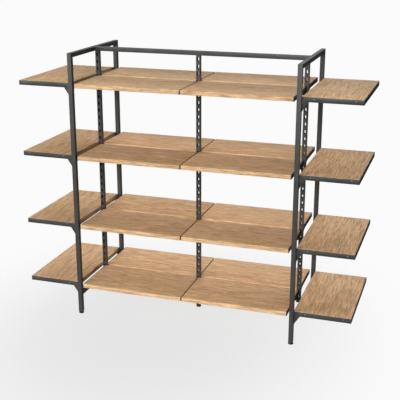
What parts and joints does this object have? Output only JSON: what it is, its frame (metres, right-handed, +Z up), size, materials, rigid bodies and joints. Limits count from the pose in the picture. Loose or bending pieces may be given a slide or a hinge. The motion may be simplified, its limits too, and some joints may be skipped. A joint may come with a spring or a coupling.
{
  "type": "gondola shelving unit",
  "caption": "Free-standing two-sided shop shelving: dark steel tube frame, slotted posts with brackets, light oak shelf boards, and framed side shelves at both ends.",
  "frame": {"origin": "on the floor, under the middle post, midway between the end frames and between the two faces", "axes": "+X to the right along the unit, +Y to the rear face, +Z up"},
  "size_m": [2.3546, 0.79, 1.89],
  "materials": {
    "powder_coat": "fine-textured charcoal powder coat, satin",
    "oak": "light oak with a matt lacquer, straight fine grain",
    "foot_plastic": "black moulded plastic"
  },
  "bodies": {
    "structure": {"end_frame_left": "powder_coat", "end_frame_right": "powder_coat", "post_left": "powder_coat", "post_middle": "powder_coat", "post_right": "powder_coat", "top_rail": "powder_coat", "bracket_middle_left_1": "powder_coat", "bracket_middle_right_1": "powder_coat", "bracket_outer_left_1": "powder_coat", "bracket_outer_right_1": "powder_coat", "bracket_middle_left_2": "powder_coat", "bracket_middle_right_2": "powder_coat", "bracket_outer_left_2": "powder_coat", "bracket_outer_right_2": "powder_coat", "bracket_middle_left_3": "powder_coat", "bracket_middle_right_3": "powder_coat", "bracket_outer_left_3": "powder_coat", "bracket_outer_right_3": "powder_coat", "bracket_middle_left_4": "powder_coat", "bracket_middle_right_4": "powder_coat", "bracket_outer_left_4": "powder_coat", "bracket_outer_right_4": "powder_coat", "side_tray_left_1": "powder_coat", "side_tray_right_1": "powder_coat", "side_tray_left_2": "powder_coat", "side_tray_right_2": "powder_coat", "side_tray_left_3": "powder_coat", "side_tray_right_3": "powder_coat", "side_tray_left_4": "powder_coat", "side_tray_right_4": "powder_coat", "side_board_left_1": "oak", "side_board_right_1": "oak", "side_board_left_2": "oak", "side_board_right_2": "oak", "side_board_left_3": "oak", "side_board_right_3": "oak", "side_board_left_4": "oak", "side_board_right_4": "oak"},
    "board_front_left_1": {"board_front_left_1": "oak"},
    "board_rear_left_1": {"board_rear_left_1": "oak"},
    "board_front_right_1": {"board_front_right_1": "oak"},
    "board_rear_right_1": {"board_rear_right_1": "oak"},
    "board_front_left_2": {"board_front_left_2": "oak"},
    "board_rear_left_2": {"board_rear_left_2": "oak"},
    "board_front_right_2": {"board_front_right_2": "oak"},
    "board_rear_right_2": {"board_rear_right_2": "oak"},
    "board_front_left_3": {"board_front_left_3": "oak"},
    "board_rear_left_3": {"board_rear_left_3": "oak"},
    "board_front_right_3": {"board_front_right_3": "oak"},
    "board_rear_right_3": {"board_rear_right_3": "oak"},
    "board_front_left_4": {"board_front_left_4": "oak"},
    "board_rear_left_4": {"board_rear_left_4": "oak"},
    "board_front_right_4": {"board_front_right_4": "oak"},
    "board_rear_right_4": {"board_rear_right_4": "oak"},
    "foot_front_left": {"foot_front_left": "foot_plastic"},
    "foot_rear_left": {"foot_rear_left": "foot_plastic"},
    "foot_front_right": {"foot_front_right": "foot_plastic"},
    "foot_rear_right": {"foot_rear_right": "foot_plastic"},
    "foot_middle": {"foot_middle": "foot_plastic"}
  },
  "joints": [
    {"name": "board_front_left_1_lift", "type": "slide", "parent": "structure", "child": "board_front_left_1", "axis": [0, 0, 1], "range_m": [0, 0.15]},
    {"name": "board_rear_left_1_lift", "type": "slide", "parent": "structure", "child": "board_rear_left_1", "axis": [0, 0, 1], "range_m": [0, 0.15]},
    {"name": "board_front_right_1_lift", "type": "slide", "parent": "structure", "child": "board_front_right_1", "axis": [0, 0, 1], "range_m": [0, 0.15]},
    {"name": "board_rear_right_1_lift", "type": "slide", "parent": "structure", "child": "board_rear_right_1", "axis": [0, 0, 1], "range_m": [0, 0.15]},
    {"name": "board_front_left_2_lift", "type": "slide", "parent": "structure", "child": "board_front_left_2", "axis": [0, 0, 1], "range_m": [0, 0.15]},
    {"name": "board_rear_left_2_lift", "type": "slide", "parent": "structure", "child": "board_rear_left_2", "axis": [0, 0, 1], "range_m": [0, 0.15]},
    {"name": "board_front_right_2_lift", "type": "slide", "parent": "structure", "child": "board_front_right_2", "axis": [0, 0, 1], "range_m": [0, 0.15]},
    {"name": "board_rear_right_2_lift", "type": "slide", "parent": "structure", "child": "board_rear_right_2", "axis": [0, 0, 1], "range_m": [0, 0.15]},
    {"name": "board_front_left_3_lift", "type": "slide", "parent": "structure", "child": "board_front_left_3", "axis": [0, 0, 1], "range_m": [0, 0.15]},
    {"name": "board_rear_left_3_lift", "type": "slide", "parent": "structure", "child": "board_rear_left_3", "axis": [0, 0, 1], "range_m": [0, 0.15]},
    {"name": "board_front_right_3_lift", "type": "slide", "parent": "structure", "child": "board_front_right_3", "axis": [0, 0, 1], "range_m": [0, 0.15]},
    {"name": "board_rear_right_3_lift", "type": "slide", "parent": "structure", "child": "board_rear_right_3", "axis": [0, 0, 1], "range_m": [0, 0.15]},
    {"name": "board_front_left_4_lift", "type": "slide", "parent": "structure", "child": "board_front_left_4", "axis": [0, 0, 1], "range_m": [0, 0.15]},
    {"name": "board_rear_left_4_lift", "type": "slide", "parent": "structure", "child": "board_rear_left_4", "axis": [0, 0, 1], "range_m": [0, 0.15]},
    {"name": "board_front_right_4_lift", "type": "slide", "parent": "structure", "child": "board_front_right_4", "axis": [0, 0, 1], "range_m": [0, 0.15]},
    {"name": "board_rear_right_4_lift", "type": "slide", "parent": "structure", "child": "board_rear_right_4", "axis": [0, 0, 1], "range_m": [0, 0.15]},
    {"name": "foot_front_left_turn", "type": "hinge", "parent": "structure", "child": "foot_front_left", "pos_m": [-0.78, -0.375, 0], "axis": [0, 0, 1], "continuous": true},
    {"name": "foot_rear_left_turn", "type": "hinge", "parent": "structure", "child": "foot_rear_left", "pos_m": [-0.78, 0.375, 0], "axis": [0, 0, 1], "continuous": true},
    {"name": "foot_front_right_turn", "type": "hinge", "parent": "structure", "child": "foot_front_right", "pos_m": [0.78, -0.375, 0], "axis": [0, 0, 1], "continuous": true},
    {"name": "foot_rear_right_turn", "type": "hinge", "parent": "structure", "child": "foot_rear_right", "pos_m": [0.78, 0.375, 0], "axis": [0, 0, 1], "continuous": true},
    {"name": "foot_middle_turn", "type": "hinge", "parent": "structure", "child": "foot_middle", "pos_m": [0, 0, 0], "axis": [0, 0, 1], "continuous": true}
  ]
}
